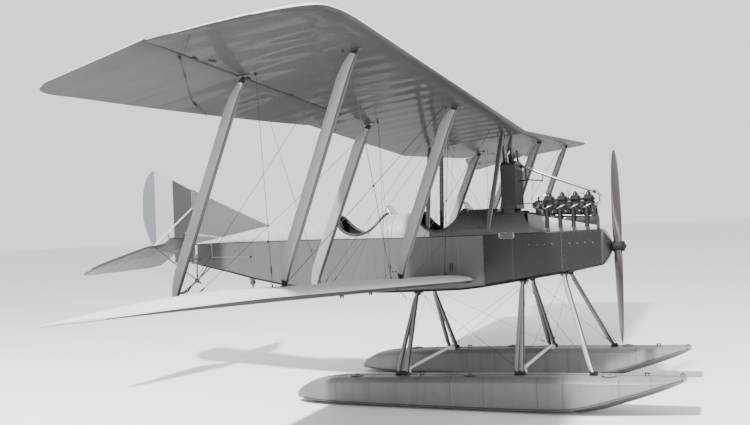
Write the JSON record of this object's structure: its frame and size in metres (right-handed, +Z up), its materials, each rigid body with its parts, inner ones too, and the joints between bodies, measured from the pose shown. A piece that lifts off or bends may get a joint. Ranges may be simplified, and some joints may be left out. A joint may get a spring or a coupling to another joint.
{
  "type": "twin-float training biplane",
  "caption": "Two-seat biplane on twin floats with staggered wings, open inline engine, tall radiator, moving rudder, elevators and ailerons.",
  "frame": {"origin": "middle of the bounding box in plan, at the height of the float keels", "axes": "+X forward along the propeller shaft, +Y to port along the span, +Z up"},
  "size_m": [8.3642, 13.0694, 3.8824],
  "materials": {
    "fabric_grey": "doped fabric, satin grey",
    "fabric_white": "doped fabric, pale, glossy",
    "wing_fabric": "doped fabric, varnished",
    "cowl_dark": "dark enamel, satin",
    "alloy": "cast, slightly dull",
    "wood_plain": "oiled",
    "iron": "blackened",
    "steel": "dull",
    "radiator_black": "matt black",
    "copper_bright": "polished",
    "strut_paint": "grey enamel, glossy",
    "seat_wood": "varnished",
    "pane": "clear",
    "rudder_paint": "three upright stripes, glossy",
    "propeller_wood": "varnished laminations",
    "float_paint": "grey enamel, weathered"
  },
  "bodies": {
    "airframe": {"hull": "fabric_grey", "turtle_deck": "fabric_white", "cockpit_deck": "cowl_dark", "nose_cowl": "cowl_dark", "crankcase": "alloy", "engine_bearer_left": "wood_plain", "engine_bearer_right": "wood_plain", "cylinder_row": "iron", "rear_gear": "steel", "radiator": "radiator_black", "water_pipe": "copper_bright", "upper_wing_right": "wing_fabric", "upper_wing_left": "wing_fabric", "lower_wing_right": "wing_fabric", "lower_wing_left": "wing_fabric", "fin": "fabric_grey", "tail_skid": "steel", "float_right": "float_paint", "float_left": "float_paint", "spreader_rear": "strut_paint", "spreader_mid": "strut_paint", "seat_rear": "seat_wood", "seat_front": "seat_wood", "windscreen_rear": "pane", "windscreen_front": "pane", "strut_inner_front_right": "strut_paint", "strut_inner_front_left": "strut_paint", "strut_outer_front_right": "strut_paint", "strut_outer_front_left": "strut_paint", "strut_inner_rear_right": "strut_paint", "strut_inner_rear_left": "strut_paint", "strut_outer_rear_right": "strut_paint", "strut_outer_rear_left": "strut_paint", "cabane_front_right": "strut_paint", "cabane_front_left": "strut_paint", "cabane_rear_right": "strut_paint", "cabane_rear_left": "strut_paint", "stays_inner_right": "steel", "stays_inner_left": "steel", "stays_outer_right": "steel", "stays_outer_left": "steel", "tail_brace_right": "steel", "tail_brace_left": "steel", "float_strut_rear_right": "cowl_dark", "float_strut_rear_left": "cowl_dark", "float_strut_mid_right": "cowl_dark", "float_strut_mid_left": "cowl_dark", "float_strut_front_right": "cowl_dark", "float_strut_front_left": "cowl_dark"},
    "propeller": {"propeller": "propeller_wood"},
    "rudder": {"rudder": "rudder_paint"},
    "elevator": {"elevator": "fabric_grey"},
    "aileron_right": {"aileron_right": "wing_fabric"},
    "aileron_left": {"aileron_left": "wing_fabric"}
  },
  "joints": [
    {"name": "propeller_spin", "type": "hinge", "parent": "airframe", "child": "propeller", "pos_m": [3.36284, 0, 1.93347], "axis": [1, 0, 0], "continuous": true},
    {"name": "rudder_hinge", "type": "hinge", "parent": "airframe", "child": "rudder", "pos_m": [-3.255, 0, 2.40975], "axis": [0, 0, 1], "range_deg": [-28, 28]},
    {"name": "elevator_hinge", "type": "hinge", "parent": "airframe", "child": "elevator", "pos_m": [-3.18885, 0, 2.15933], "axis": [0, 1, 0], "range_deg": [0, 65]},
    {"name": "aileron_right_hinge", "type": "hinge", "parent": "airframe", "child": "aileron_right", "pos_m": [0.84593, -3.3075, 3.56848], "axis": [0, 0.9988, -0.0482], "range_deg": [-20, 20]},
    {"name": "aileron_left_hinge", "type": "hinge", "parent": "airframe", "child": "aileron_left", "pos_m": [0.84593, 3.3075, 3.56848], "axis": [0, 0.9988, 0.0482], "range_deg": [-20, 20]}
  ],
  "couplings": [
    {"joint": "aileron_left_hinge", "follows": "aileron_right_hinge", "ratio": -1}
  ]
}
